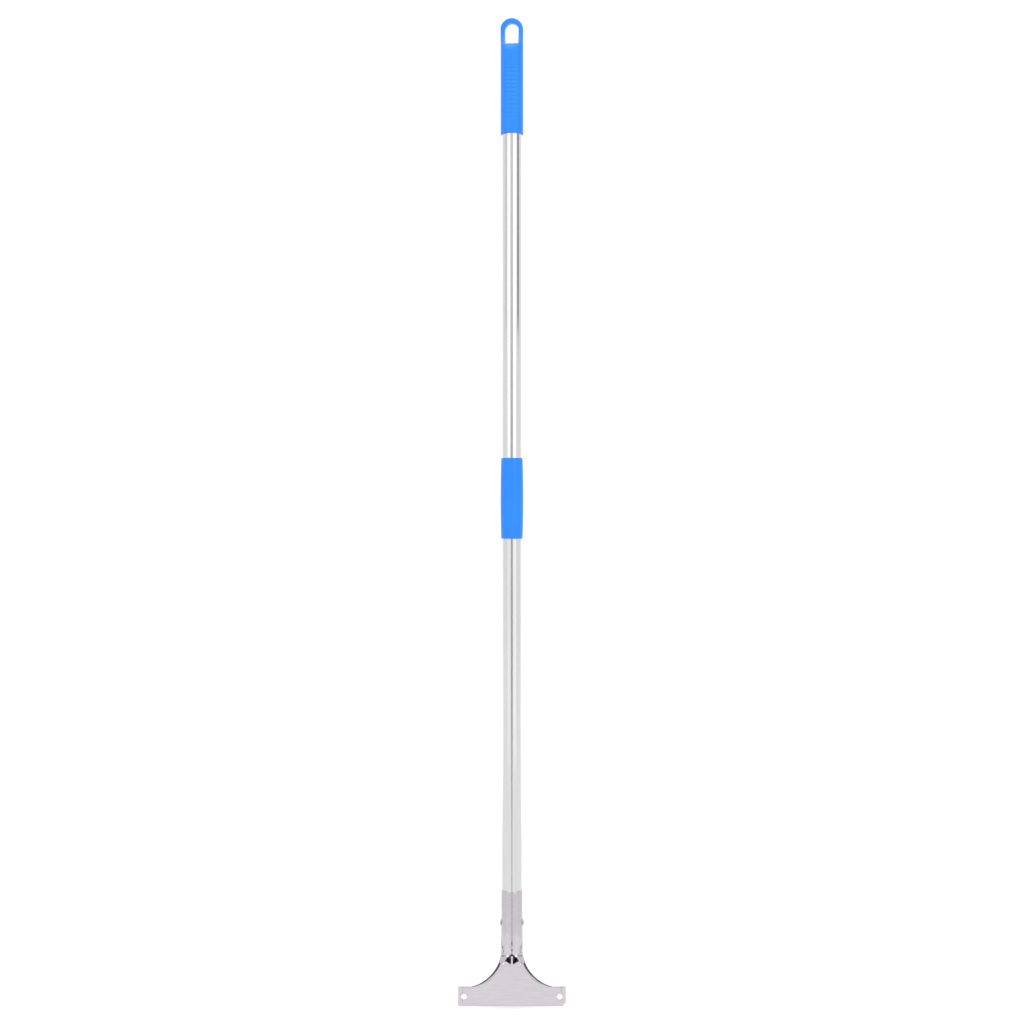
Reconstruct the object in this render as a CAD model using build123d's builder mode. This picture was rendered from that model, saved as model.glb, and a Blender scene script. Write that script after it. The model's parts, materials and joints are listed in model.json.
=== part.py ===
from build123d import *

import os
from math import asin, cos, degrees, isclose, radians, sin, sqrt

# Long-handled pool wall tool: a two-section steel pole with a flared sheet-steel head.
# Millimetres. The origin is on the pole's axis, level with the head's working edge.
# +Z runs up the pole to the hanging loop, +X along the plate, and -Y faces the front, where the seam is.

# Pole
TUBE_OD = 22.0
TUBE_WALL = 0.7
LOWER_TUBE_BASE = 82.0
JOINT_FACE = 565.0  # where the two sections meet, at the screw socket's top face
FLANGE_THICKNESS = 3.0
WASHER_THICKNESS = 1.5
UPPER_TUBE_TOP = 1052.0

# Middle sleeve
SLEEVE_BASE = 519.7
SLEEVE_TOP = 609.2
SLEEVE_END_OD = 23.9
SLEEVE_MID_OD = 25.4
SLEEVE_RIM_RADIUS = 0.4
SLIDING_GAP = 0.1  # radial play of the upper section in the sleeve

# Screw thread, right-handed, one start
PITCH = 4.0
THREAD_BASE = 540.3
THREAD_LENGTH = 20.0
CORE_R = 6.8
CREST_R = 8.4
CORE_HALF_WIDTH = 1.2
CREST_HALF_WIDTH = 0.6
THREAD_GAP = 0.3
PLUG_TIP = 538.3
ROOT_OVERLAP = 0.2  # how far the thread's ridge is sunk in the core it stands on
PLUG_SHANK = 30.0
PLUG_FLOOR = 4.0  # solid end under the cored shank
PLUG_WALL = 2.2
TIP_CHAMFER = 1.5
SOCKET_SHANK = 35.0
SOCKET_CORE_GAP = 0.35
SPARE_TURNS = 3  # turns that the socket's thread has beyond the plug's, at each end
WASHER_EDGE = 0.4  # how far the washer stays inside the flanges
WASHER_CLEARANCE = 0.3  # round the thread

# Hanging grip
GRIP_OD = 25.6
GRIP_BASE = 967.5
GRIP_TOP = 1096.2
GRIP_TURN = -6.0  # degrees about the pole
LOOP_THICKNESS = 10.0
LOOP_NECK_BASE = 1054.0
LOOP_NECK_TOP = 1078.0
HOLE_WIDTH = 15.5
HOLE_BASE = 1067.0
HOLE_TOP = 1091.1
RIB_COUNT = 13
RIB_PITCH = 4.5
RIB_BASE = 984.5
RIB_DEPTH = 0.5
RIB_WIDTH = 1.9
RIB_SPREAD = 84.0  # degrees of the grip's front and back that the grooves cover

# Head
SHEET = 0.8
PLATE_WIDTH = 120.0
PLATE_HEIGHT = 22.0
PLATE_Y = 5.0  # mid-plane of the plate, behind the pole's axis
BEVEL_HEIGHT = 3.5
BEVEL_DEPTH = 0.5
HOLE_SPACING = 106.6
HOLE_HEIGHT = 10.5
PLATE_HOLE_D = 6.0
LEFT_CORNER = 1.8
RIGHT_CORNER = 4.0
SOCKET_TOP = 130.5
SOCKET_CONE_TOP = 104.0
SOCKET_CONE_BASE = 80.0
SOCKET_TOP_R = 11.83
SOCKET_BASE_R = 12.2
NECK_TOP = 66.5
NECK_BASE = 56.0
FLARE_R = 46.0
END_BEND_R = 1.0  # outer radius of the turned-up edge where it dies out
NECK_FLAT = 0.1  # half-width of the flat at the very top of the neck
NECK_INSET = 0.2  # the ramp lies this far inside the socket and its wings, so that their faces cross cleanly
FLARE_STEPS = 8
SEAM_WIDTH = 0.5
SEAM_WEDGE_WIDTH = 2.4
SEAM_WEDGE_TOP = 82.0
SEAM_OPENING_DROP = 1.0  # from the neck's top to the wedge's widest place
MOUTH_SHOULDER_HALF = 6.5
MOUTH_SHOULDER_DROP = 6.0
MOUTH_HALF = 9.5

# Blind rivets
RIVET_HEIGHT = 95.0
RIVET_HEAD_D = 8.0
RIVET_PROUD = 1.3
RIVET_SHANK_D = 4.0
RIVET_BULB_D = 5.8
PIN_D = 2.1
PIN_BALL_D = 3.4
RIVET_HEAD_SINK = 0.6  # how far the head's underside follows the curved socket
RIVET_DOME_OUT = 0.78  # the dome's shoulder, as shares of its height and radius
RIVET_DOME_SIDE = 0.6
BULB_LENGTH = 3.2  # how far the set rivet reaches inside the tube
BULB_SHOULDER = 1.8
BULB_CHAMFER = 0.6
BULB_FACE = 0.5
BULB_NECK = 0.3
PIN_SINK = 0.5  # below the rivet's crown
PIN_BALL_LENGTH = 1.2
PIN_CAP_LENGTH = 0.8

tube_r = TUBE_OD / 2
tube_bore_r = tube_r - TUBE_WALL
flare_x = SOCKET_BASE_R + FLARE_R
neck_half_width = flare_x - sqrt(FLARE_R**2 - (NECK_TOP - NECK_BASE) ** 2)
neck_angle = degrees(asin((NECK_TOP - NECK_BASE) / FLARE_R))  # where the flare starts, below its centre
end_angle = degrees(asin((NECK_TOP - PLATE_HEIGHT) / FLARE_R))  # where it meets the plate's top
plate_front = PLATE_Y - SHEET / 2
plate_back = PLATE_Y + SHEET / 2


def write(piece, name):
    """Labels a finished piece and writes it as a STEP file named after it."""
    piece.part.label = name
    export_step(piece.part, f"parts/{name}.step")


def make_tube(base, top):
    """A plain drawn tube on the pole's axis."""
    with BuildPart() as tube:
        with BuildSketch(Plane.XY.offset(base)):
            Circle(tube_r)
            Circle(tube_bore_r, mode=Mode.SUBTRACT)
        extrude(amount=top - base)
    return tube


def thread_ridge(base, length, grow):
    """The thread's ridge as a helical sweep, grown on every side by the running gap."""
    root_r = CORE_R - ROOT_OVERLAP
    slope = (CORE_HALF_WIDTH - CREST_HALF_WIDTH) / (CREST_R - CORE_R)
    root_half = CORE_HALF_WIDTH + slope * (CORE_R - root_r) + grow
    crest_half = CREST_HALF_WIDTH + (1 - slope) * grow
    crest_height = CREST_R + grow - root_r
    with BuildPart() as ridge:
        with BuildLine() as path:
            Helix(PITCH, length, root_r, center=(0, 0, base))
        with BuildSketch(Plane(path.line @ 0, x_dir=(1, 0, 0), z_dir=path.line % 0)):
            with BuildLine():
                Polyline(
                    (0, -root_half),
                    (crest_height, -crest_half),
                    (crest_height, crest_half),
                    (0, root_half),
                    close=True,
                )
            make_face()
        sweep(is_frenet=True)
    return ridge


def make_screw_plug():
    """Male screw plug: a cored shank pressed in the upper tube, a collar under it, and the thread."""
    collar_base = JOINT_FACE + WASHER_THICKNESS
    collar_top = collar_base + FLANGE_THICKNESS
    shank_top = collar_top + PLUG_SHANK
    cored_r = tube_bore_r - PLUG_WALL
    with BuildPart() as plug:
        with BuildSketch(Plane.XZ):
            with BuildLine():
                Polyline(
                    (0, PLUG_TIP),
                    (CORE_R - TIP_CHAMFER, PLUG_TIP),
                    (CORE_R, PLUG_TIP + TIP_CHAMFER),
                    (CORE_R, collar_base),
                    (tube_r, collar_base),
                    (tube_r, collar_top),
                    (tube_bore_r, collar_top),
                    (tube_bore_r, shank_top),
                    (cored_r, shank_top),
                    (cored_r, collar_top + PLUG_FLOOR),
                    (0, collar_top + PLUG_FLOOR),
                    close=True,
                )
            make_face()
        revolve(axis=Axis.Z)
        add(thread_ridge(THREAD_BASE, THREAD_LENGTH, 0).part)
    return plug


def make_screw_socket():
    """Female screw socket: pressed in the lower tube's top, with a flange over the tube's end."""
    base = JOINT_FACE - SOCKET_SHANK
    spare = SPARE_TURNS * PITCH
    with BuildPart() as socket:
        with BuildSketch(Plane.XY.offset(base)):
            Circle(tube_bore_r)
        extrude(amount=SOCKET_SHANK)
        with BuildSketch(Plane.XY.offset(JOINT_FACE - FLANGE_THICKNESS)):
            Circle(tube_r)
        extrude(amount=FLANGE_THICKNESS)
        with BuildSketch(Plane.XY.offset(base)):
            Circle(CORE_R + SOCKET_CORE_GAP)
        extrude(amount=SOCKET_SHANK, mode=Mode.SUBTRACT)
        add(thread_ridge(THREAD_BASE - spare, THREAD_LENGTH + 2 * spare, THREAD_GAP).part, mode=Mode.SUBTRACT)
    return socket


def make_joint_washer():
    """Rubber sealing washer between the plug's collar and the socket's flange."""
    with BuildPart() as washer:
        with BuildSketch(Plane.XY.offset(JOINT_FACE)):
            Circle(tube_r - WASHER_EDGE)
            Circle(CREST_R + WASHER_CLEARANCE, mode=Mode.SUBTRACT)
        extrude(amount=WASHER_THICKNESS)
    return washer


def make_joint_sleeve():
    """Barrel-shaped sleeve, tight on the lower tube and running free over the upper one."""
    middle = (SLEEVE_BASE + SLEEVE_TOP) / 2
    end_r = SLEEVE_END_OD / 2
    free_r = tube_r + SLIDING_GAP
    with BuildPart() as sleeve:
        with BuildSketch(Plane.XZ):
            with BuildLine():
                Polyline(
                    (end_r, SLEEVE_BASE),
                    (tube_r, SLEEVE_BASE),
                    (tube_r, JOINT_FACE),
                    (free_r, JOINT_FACE),
                    (free_r, SLEEVE_TOP),
                    (end_r, SLEEVE_TOP),
                )
                ThreePointArc((end_r, SLEEVE_TOP), (SLEEVE_MID_OD / 2, middle), (end_r, SLEEVE_BASE))
            make_face()
        revolve(axis=Axis.Z)
        rims = sleeve.edges().filter_by(GeomType.CIRCLE).filter_by(lambda edge: isclose(edge.radius, end_r))
        fillet(rims, SLEEVE_RIM_RADIUS)
    return sleeve


def make_hang_grip():
    """Moulded grip, closed above the tube and flattened into a hanging loop."""
    grip_r = GRIP_OD / 2
    half_loop = LOOP_THICKNESS / 2
    arch_z = GRIP_TOP - grip_r
    hole_r = HOLE_WIDTH / 2
    neck_mid = (LOOP_NECK_BASE + LOOP_NECK_TOP) / 2
    with BuildPart() as grip:
        with BuildSketch(Plane.XY.offset(GRIP_BASE)):
            Circle(grip_r)
        extrude(amount=GRIP_TOP - GRIP_BASE)
        # Front outline: straight sides under a half-round top.
        with BuildSketch(Plane.XZ):
            with BuildLine():
                Polyline((grip_r, arch_z), (grip_r, GRIP_BASE), (-grip_r, GRIP_BASE), (-grip_r, arch_z))
                ThreePointArc((-grip_r, arch_z), (0, GRIP_TOP), (grip_r, arch_z))
            make_face()
        extrude(amount=grip_r, both=True, mode=Mode.INTERSECT)
        # Side outline: full depth over the tube, then an S-curve into the thin loop.
        with BuildSketch(Plane.YZ):
            with BuildLine():
                Polyline(
                    (half_loop, LOOP_NECK_TOP),
                    (half_loop, GRIP_TOP),
                    (-half_loop, GRIP_TOP),
                    (-half_loop, LOOP_NECK_TOP),
                )
                Spline(
                    (-half_loop, LOOP_NECK_TOP),
                    (-(half_loop + grip_r) / 2, neck_mid),
                    (-grip_r, LOOP_NECK_BASE),
                    tangents=((0, -1), (0, -1)),
                )
                Polyline(
                    (-grip_r, LOOP_NECK_BASE),
                    (-grip_r, GRIP_BASE),
                    (grip_r, GRIP_BASE),
                    (grip_r, LOOP_NECK_BASE),
                )
                Spline(
                    (grip_r, LOOP_NECK_BASE),
                    ((half_loop + grip_r) / 2, neck_mid),
                    (half_loop, LOOP_NECK_TOP),
                    tangents=((0, 1), (0, 1)),
                )
            make_face()
        extrude(amount=grip_r, both=True, mode=Mode.INTERSECT)
        # Hanging hole.
        with BuildSketch(Plane.XZ):
            with BuildLine():
                arch_base = HOLE_TOP - hole_r
                Polyline(
                    (hole_r, arch_base),
                    (hole_r, HOLE_BASE),
                    (-hole_r, HOLE_BASE),
                    (-hole_r, arch_base),
                )
                ThreePointArc((-hole_r, arch_base), (0, HOLE_TOP), (hole_r, arch_base))
            make_face()
        extrude(amount=grip_r, both=True, mode=Mode.SUBTRACT)
        # Bore for the tube.
        with BuildSketch(Plane.XY.offset(GRIP_BASE)):
            Circle(tube_r)
        extrude(amount=UPPER_TUBE_TOP - GRIP_BASE, mode=Mode.SUBTRACT)
        # Finger grooves across the front and the back.
        groove_r = (RIB_DEPTH**2 + (RIB_WIDTH / 2) ** 2) / (2 * RIB_DEPTH)
        for side in (-90, 90):
            start = side - RIB_SPREAD / 2
            for index in range(RIB_COUNT):
                height = RIB_BASE + index * RIB_PITCH
                section = Plane(
                    origin=(0, 0, height),
                    x_dir=(cos(radians(start)), sin(radians(start)), 0),
                    z_dir=(sin(radians(start)), -cos(radians(start)), 0),
                )
                with BuildSketch(section):
                    with Locations((grip_r + groove_r - RIB_DEPTH, 0)):
                        Circle(groove_r)
                revolve(axis=Axis.Z, revolution_arc=RIB_SPREAD, mode=Mode.SUBTRACT)
    turned = grip.part.rotate(Axis.Z, GRIP_TURN)
    with BuildPart() as result:
        add(turned)
    return result


def bend_radius(angle):
    """Outer radius of the head's turned-up edge, shrinking from the neck towards the plate's ends."""
    share = min(1, max(0, (angle - neck_angle) / (end_angle - neck_angle)))
    return plate_back + share * (END_BEND_R - plate_back)


def channel_section(height, reach, bend, back, angle):
    """Cross-section of the sheet: flat at the back, with both sides turned up to the front."""
    stretch = cos(radians(angle))
    flat = reach - bend / stretch
    middle = back - bend
    inner = bend - SHEET
    with BuildSketch(Plane.XY.offset(height)) as section:
        with BuildLine():
            outer_width = bend / stretch
            inner_width = inner / stretch
            outer = EllipticalCenterArc((flat, middle), outer_width, bend, start_angle=0, arc_size=90)
            Line(outer @ 1, (-flat, back))
            outer_left = EllipticalCenterArc((-flat, middle), outer_width, bend, start_angle=90, arc_size=90)
            inner_left = EllipticalCenterArc((-flat, middle), inner_width, inner, start_angle=90, arc_size=90)
            Line(outer_left @ 1, inner_left @ 1)
            inner_right = EllipticalCenterArc((flat, middle), inner_width, inner, start_angle=0, arc_size=90)
            Line(inner_left @ 0, inner_right @ 1)
            Line(inner_right @ 0, outer @ 0)
        make_face()
    return section.sketch


def make_head_plate():
    """The head: one stainless sheet, rolled into a socket and flared into a flat plate."""
    with BuildPart() as head:
        # Rolled socket, and its front wings down to the neck's base.
        with BuildSketch(Plane.XZ):
            with BuildLine():
                Polyline(
                    (SOCKET_TOP_R, SOCKET_TOP),
                    (SOCKET_TOP_R, SOCKET_CONE_TOP),
                    (SOCKET_BASE_R, SOCKET_CONE_BASE),
                    (SOCKET_BASE_R, NECK_TOP),
                    (neck_half_width + NECK_INSET, NECK_BASE),
                    (neck_half_width + NECK_INSET - SHEET, NECK_BASE),
                    (SOCKET_BASE_R - SHEET, NECK_TOP),
                    (SOCKET_BASE_R - SHEET, SOCKET_CONE_BASE),
                    (SOCKET_TOP_R - SHEET, SOCKET_CONE_TOP),
                    (SOCKET_TOP_R - SHEET, SOCKET_TOP),
                    close=True,
                )
            make_face()
        revolve(axis=Axis.Z)
        # The rolled edges meet at the front seam, part in a wedge, and spread round the mouth.
        with BuildSketch(Plane.XZ):
            with BuildLine():
                Polyline(
                    (SEAM_WIDTH / 2, SOCKET_TOP),
                    (SEAM_WIDTH / 2, SEAM_WEDGE_TOP),
                    (SEAM_WEDGE_WIDTH / 2, NECK_TOP - SEAM_OPENING_DROP),
                    (MOUTH_SHOULDER_HALF, NECK_TOP - MOUTH_SHOULDER_DROP),
                    (MOUTH_HALF, NECK_BASE),
                    (-MOUTH_HALF, NECK_BASE),
                    (-MOUTH_SHOULDER_HALF, NECK_TOP - MOUTH_SHOULDER_DROP),
                    (-SEAM_WEDGE_WIDTH / 2, NECK_TOP - SEAM_OPENING_DROP),
                    (-SEAM_WIDTH / 2, SEAM_WEDGE_TOP),
                    (-SEAM_WIDTH / 2, SOCKET_TOP),
                    close=True,
                )
            make_face()
        extrude(amount=2 * SOCKET_BASE_R, mode=Mode.SUBTRACT)
        # Behind the axis, the round wall gives way to a ramp that comes forward to the plate's plane.
        with BuildSketch(Plane.XZ):
            with Locations((0, (NECK_TOP + NECK_BASE) / 2)):
                Rectangle(4 * SOCKET_BASE_R, NECK_TOP - NECK_BASE)
        extrude(amount=-2 * SOCKET_BASE_R, mode=Mode.SUBTRACT)
        neck_base = channel_section(NECK_BASE, neck_half_width, plate_back, plate_back, neck_angle)
        inset_r = SOCKET_BASE_R - NECK_INSET
        neck_top = channel_section(NECK_TOP, inset_r, inset_r - NECK_FLAT, inset_r - NECK_FLAT, 0)
        loft([neck_top, neck_base], ruled=True)
        # Below the neck the turned-up sides follow the flare and die out at the plate.
        flare = [neck_base]
        for step in range(1, FLARE_STEPS + 1):
            angle = neck_angle + (end_angle - neck_angle) * step / FLARE_STEPS
            height = NECK_TOP - FLARE_R * sin(radians(angle))
            reach = flare_x - FLARE_R * cos(radians(angle))
            flare.append(channel_section(height, reach, bend_radius(angle), plate_back, angle))
        loft(flare)
        # Flat plate.
        half = PLATE_WIDTH / 2
        with BuildSketch(Plane.XZ.offset(-plate_back)):
            with BuildLine():
                Polyline(
                    (half, PLATE_HEIGHT),
                    (half, RIGHT_CORNER),
                    (half - RIGHT_CORNER, 0),
                    (LEFT_CORNER - half, 0),
                    (-half, LEFT_CORNER),
                    (-half, PLATE_HEIGHT),
                    close=True,
                )
            make_face()
            with Locations((-HOLE_SPACING / 2, HOLE_HEIGHT), (HOLE_SPACING / 2, HOLE_HEIGHT)):
                Circle(PLATE_HOLE_D / 2, mode=Mode.SUBTRACT)
        extrude(amount=SHEET)
        # Ground bevel along the front of the working edge.
        with BuildSketch(Plane.YZ):
            with BuildLine():
                Polyline(
                    (plate_front, 0), (plate_front + BEVEL_DEPTH, 0), (plate_front, BEVEL_HEIGHT), close=True
                )
            make_face()
        extrude(amount=PLATE_WIDTH, both=True, mode=Mode.SUBTRACT)
        # Rivet holes through the socket.
        with BuildSketch(Plane.YZ):
            with Locations((0, RIVET_HEIGHT)):
                Circle(RIVET_SHANK_D / 2)
        extrude(amount=2 * SOCKET_BASE_R, both=True, mode=Mode.SUBTRACT)
    return head


def turn_to_side(piece, side):
    """Turns a piece made on the right-hand side round the pole to the left-hand one, if that is its side."""
    if side < 0:
        add(piece.part.rotate(Axis.Z, 180), mode=Mode.REPLACE)


def make_rivet(side, *walls):
    """Blind rivet on one side: a domed head that follows the socket, a shank, and the set bulb."""
    cone_share = (SOCKET_CONE_TOP - RIVET_HEIGHT) / (SOCKET_CONE_TOP - SOCKET_CONE_BASE)
    wall = SOCKET_TOP_R + (SOCKET_BASE_R - SOCKET_TOP_R) * cone_share
    head_r = RIVET_HEAD_D / 2
    shank_r = RIVET_SHANK_D / 2
    bulb_r = RIVET_BULB_D / 2
    pin_r = PIN_D / 2
    crown = wall + RIVET_PROUD
    underside = wall - RIVET_HEAD_SINK
    with BuildPart() as rivet:
        with BuildSketch(Plane.XY.offset(RIVET_HEIGHT)):
            with BuildLine():
                Polyline(
                    (crown, pin_r),
                    (tube_bore_r - BULB_LENGTH, pin_r),
                    (tube_bore_r - BULB_LENGTH, bulb_r - BULB_CHAMFER),
                    (tube_bore_r - BULB_SHOULDER, bulb_r),
                    (tube_bore_r - BULB_FACE, bulb_r),
                    (tube_bore_r - BULB_NECK, shank_r),
                    (underside, shank_r),
                    (underside, head_r),
                    (wall, head_r),
                )
                shoulder = (wall + RIVET_DOME_OUT * RIVET_PROUD, RIVET_DOME_SIDE * head_r)
                ThreePointArc((wall, head_r), shoulder, (crown, pin_r))
            make_face()
        revolve(axis=Axis((0, 0, RIVET_HEIGHT), (1, 0, 0)))
        turn_to_side(rivet, side)
        for wall_piece in walls:
            add(wall_piece, mode=Mode.SUBTRACT)
    return rivet


def make_rivet_pin(side):
    """What stays of the rivet's mandrel: a snapped stem, with its ball behind the bulb."""
    stem_top = SOCKET_TOP_R + RIVET_PROUD - PIN_SINK
    ball_top = tube_bore_r - BULB_LENGTH
    ball_base = ball_top - PIN_BALL_LENGTH
    with BuildPart() as pin:
        with BuildSketch(Plane.XY.offset(RIVET_HEIGHT)):
            with BuildLine():
                Polyline(
                    (stem_top, 0),
                    (stem_top, PIN_D / 2),
                    (ball_top, PIN_D / 2),
                    (ball_top, PIN_BALL_D / 2),
                    (ball_base, PIN_BALL_D / 2),
                    (ball_base - PIN_CAP_LENGTH, PIN_BALL_D / 4),
                    (ball_base - PIN_CAP_LENGTH, 0),
                    close=True,
                )
            make_face()
        revolve(axis=Axis((0, 0, RIVET_HEIGHT), (1, 0, 0)))
        turn_to_side(pin, side)
    return pin


def make_lower_tube():
    """The lower tube, drilled for the two rivets."""
    with BuildPart() as tube:
        add(make_tube(LOWER_TUBE_BASE, JOINT_FACE - FLANGE_THICKNESS).part)
        with BuildSketch(Plane.YZ):
            with Locations((0, RIVET_HEIGHT)):
                Circle(RIVET_SHANK_D / 2)
        extrude(amount=TUBE_OD, both=True, mode=Mode.SUBTRACT)
    return tube


def main():
    os.makedirs("parts", exist_ok=True)
    collar_top = JOINT_FACE + WASHER_THICKNESS + FLANGE_THICKNESS
    lower_tube = make_lower_tube()
    head_plate = make_head_plate()
    write(make_hang_grip(), "hang_grip")
    write(make_tube(collar_top, UPPER_TUBE_TOP), "upper_tube")
    write(make_screw_plug(), "screw_plug")
    write(make_joint_washer(), "joint_washer")
    write(make_joint_sleeve(), "joint_sleeve")
    write(make_screw_socket(), "screw_socket")
    write(lower_tube, "lower_tube")
    write(head_plate, "head_plate")
    for side, word in ((-1, "left"), (1, "right")):
        write(make_rivet(side, head_plate.part, lower_tube.part), f"rivet_{word}")
        write(make_rivet_pin(side), f"rivet_pin_{word}")


main()
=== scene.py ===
"""Looks of the long-handled pool wall tool: meshes, materials, studio and camera, around the CAD frame.

Shapes are worked out in millimetres in the CAD frame (+Z up the pole, -Y to the front) and written in metres.
"""

import json
from math import cos, pi, radians, sin, sqrt

import bmesh
import bpy
import numpy as np
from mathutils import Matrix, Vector


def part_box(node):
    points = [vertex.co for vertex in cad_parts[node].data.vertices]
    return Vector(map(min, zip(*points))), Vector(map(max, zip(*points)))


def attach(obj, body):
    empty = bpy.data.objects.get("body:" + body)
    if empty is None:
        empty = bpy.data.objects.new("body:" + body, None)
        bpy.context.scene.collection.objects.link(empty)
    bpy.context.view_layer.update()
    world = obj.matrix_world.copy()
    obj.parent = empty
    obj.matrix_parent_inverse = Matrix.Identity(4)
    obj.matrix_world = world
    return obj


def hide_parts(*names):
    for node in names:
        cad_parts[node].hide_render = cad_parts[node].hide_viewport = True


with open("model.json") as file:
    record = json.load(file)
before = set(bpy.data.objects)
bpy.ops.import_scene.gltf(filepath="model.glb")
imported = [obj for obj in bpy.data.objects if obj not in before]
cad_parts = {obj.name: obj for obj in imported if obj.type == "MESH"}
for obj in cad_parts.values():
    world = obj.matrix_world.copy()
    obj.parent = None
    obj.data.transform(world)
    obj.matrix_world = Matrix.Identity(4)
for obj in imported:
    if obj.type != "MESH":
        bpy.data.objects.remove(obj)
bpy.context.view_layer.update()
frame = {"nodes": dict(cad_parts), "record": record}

MM = 0.001


def node_box(node):
    """A CAD node's lowest and highest corners in millimetres."""
    low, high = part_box(node)
    return low / MM, high / MM


# ---------------------------------------------------------------- sizes in millimetres

# Head, a single sheet rolled into a socket and flared into a plate
SHEET = 0.8
FLARE_R = 46.2
FLARE_X = 58.2  # sideways and upwards, where the flare's centres are
FLARE_TOP = 66.5
FLARE_END = 75.3  # degrees below the centre, where the flare meets the plate's top
SOCKET_BASE_R = 12.2
SOCKET_TOP_R = 11.83
SOCKET_LIP_R = 11.6
SOCKET_LIP = 3.0
CONE_TOP = 104.0
CONE_BASE = 80.0
PLATE_HEIGHT = 22.0
PLATE_MIDDLE_Y = 5.0
RAMP_LOW = 46.0  # where the ramp behind the mouth meets the plate
RAMP_HIGH = 62.0
LEAST_RAMP = 2  # its least height, out at the sides
RAMP_ROUNDING = 0.083
RAMP_POWER = 1.6  # above 1 the ramp is steepest at its foot
RAMP_FOOT = 1.6  # height over which the ramp's foot is rounded
RIB_HALF_WIDTH = 1.2
RIB_FLANK = 0.7  # width over which each flank of the rib falls
RIB_TOP = 60.0  # where the rib has died out
RIB_FADE = 4  # height over which it does
PLATE_HOLE_R = 3.0
HOLE_HEIGHT = 10.5
LEFT_CORNER = 1.8
RIGHT_CORNER = 4.0
BEVEL_HEIGHT = 3.5
BEVEL_DEPTH = 0.45
CUT_EDGE = 0.12  # how far the cut edges are broken
# The rolled edge, by the angle below the flare's centre: its half-width across the sheet, its half-depth
# to the front, and how far round it goes. It opens out of the socket and dies out at the plate.
ROLL_ANGLE = (0, 4.2, 5.2, 8, 10.6, 15, 20, 30, 45, 60, 65, 70, 73, FLARE_END)
ROLL_WIDTH = (11.8, 11.6, 11.5, 11.0, 10.5, 9.6, 8.4, 6.8, 5.6, 4.6, 3.9, 2.8, 1.6, 0.1)
ROLL_DEPTH = (11.8, 11.5, 11.4, 11.0, 10.6, 10.0, 8.9, 7.0, 4.5, 3.0, 2.3, 1.6, 1.0, 0.1)
ROLL_TURN = (180, 180, 175, 165, 157, 151, 156, 161, 165, 132, 129, 127, 60, 1)
# Where the rows across the flat back cross the pole's axis, by the same angle. They dip there, to pass
# under the rolled edge's foot.
ROW_ANGLE = (45, 60, 65, 70, FLARE_END)
ROW_MIDDLE = (29.5, 21.2, 20.0, 19.2, 15.5)
ROW_CURVE = 10
PLATE_ROWS = (12.5, 9.5, 6.5, BEVEL_HEIGHT, 1.8, 0.0)
# Half the seam's gap, by height
SEAM_HEIGHT = (62.3, 63.5, 69.2, 79, 100, 131)
SEAM_HALF_GAP = (0.1, 0.15, 1.15, 0.1, 0.08, 0.07)

# Rivets
RIVET_HEIGHT = 95.0
RIVET_HEAD_R = 3.7
RIVET_PROUD = 1.45
RIVET_EDGE = 0.35  # height of the dome's upright edge
RIVET_RIM_R = 1.7  # the crest round the mandrel's hole
RIVET_HOLE_R = 1.05
SHANK_R = 2.0
SHANK_DEPTH = 4.0
STEM_R = 1.0
STEM_DEPTH = 6.0
DIMPLE_R = 6.5
DIMPLE_DEPTH = 0.2

# Pole
TUBE_WALL = 0.7
SLEEVE_MIDDLE_R = 12.7
SLEEVE_END_R = 11.95
SLEEVE_CLEARANCE = 0.1  # between its bore and the upper tube
SLEEVE_RIM = 1.6  # height of its soft upper rim
SLEEVE_FOOT = 0.4  # height of its squarer lower one

# Hanging grip
GRIP_R = 12.65
GRIP_TURN = -6.0  # degrees about the pole
LOOP_HALF_DEPTH = 5.0
NECK_LOW = 1052.0
NECK_HIGH = 1080.0
HOLE_HALF_WIDTH = 7.75
HOLE_BASE = 1067.0
BORE_TOP = 1052.0
GROOVE_PITCH = 4.5
GROOVE_BASE = 984.5
GROOVE_COUNT = 13
GROOVE_DEPTH = 0.4
GROOVE_HALF_WIDTH = 0.9
GROOVE_SPREAD = 42.0  # degrees each side of the grip's front and back
GROOVE_FADE = 12  # degrees over which the grooves run out
SLAB_SPARE = 1.5  # how far the loop's flat sides stand clear of the barrel below the neck
ARCH_DROP = 0.15  # how far the loop's arch is lowered from the CAD grip's top
HOLE_ARCH_DROP = 0.4  # the same for the hole's arch
ARCH_ROUNDING = 0.3
LOOP_ROUNDING = 3.2
HOLE_ROUNDING = 2.4
FOOT_ROUNDING = 1.2
GRIP_CELL = (0.6, 0.6, 0.5)  # the mesh's cells
GRIP_MARGIN = 1.1  # how far the cells reach past the grip's sides


# ---------------------------------------------------------------- mesh helpers


def smoothstep(t):
    t = np.clip(t, 0.0, 1.0)
    return t * t * (3 - 2 * t)


def through(x, xs, ys):
    """A smooth curve through a few points that never swings past them."""
    xs, ys = np.asarray(xs, float), np.asarray(ys, float)
    rise = np.diff(ys) / np.diff(xs)
    product, total = rise[1:] * rise[:-1], rise[1:] + rise[:-1]
    same_way = product > 0
    between = np.where(same_way, 2 * product / np.where(same_way, total, 1), 0)
    slopes = np.concatenate([rise[:1], between, rise[-1:]])
    x = np.clip(x, xs[0], xs[-1])
    i = np.clip(np.searchsorted(xs, x) - 1, 0, len(xs) - 2)
    width = xs[i + 1] - xs[i]
    t = (x - xs[i]) / width
    return (
        (2 * t**3 - 3 * t**2 + 1) * ys[i]
        + (t**3 - 2 * t**2 + t) * width * slopes[i]
        + (3 * t**2 - 2 * t**3) * ys[i + 1]
        + (t**3 - t**2) * width * slopes[i + 1]
    )


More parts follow.
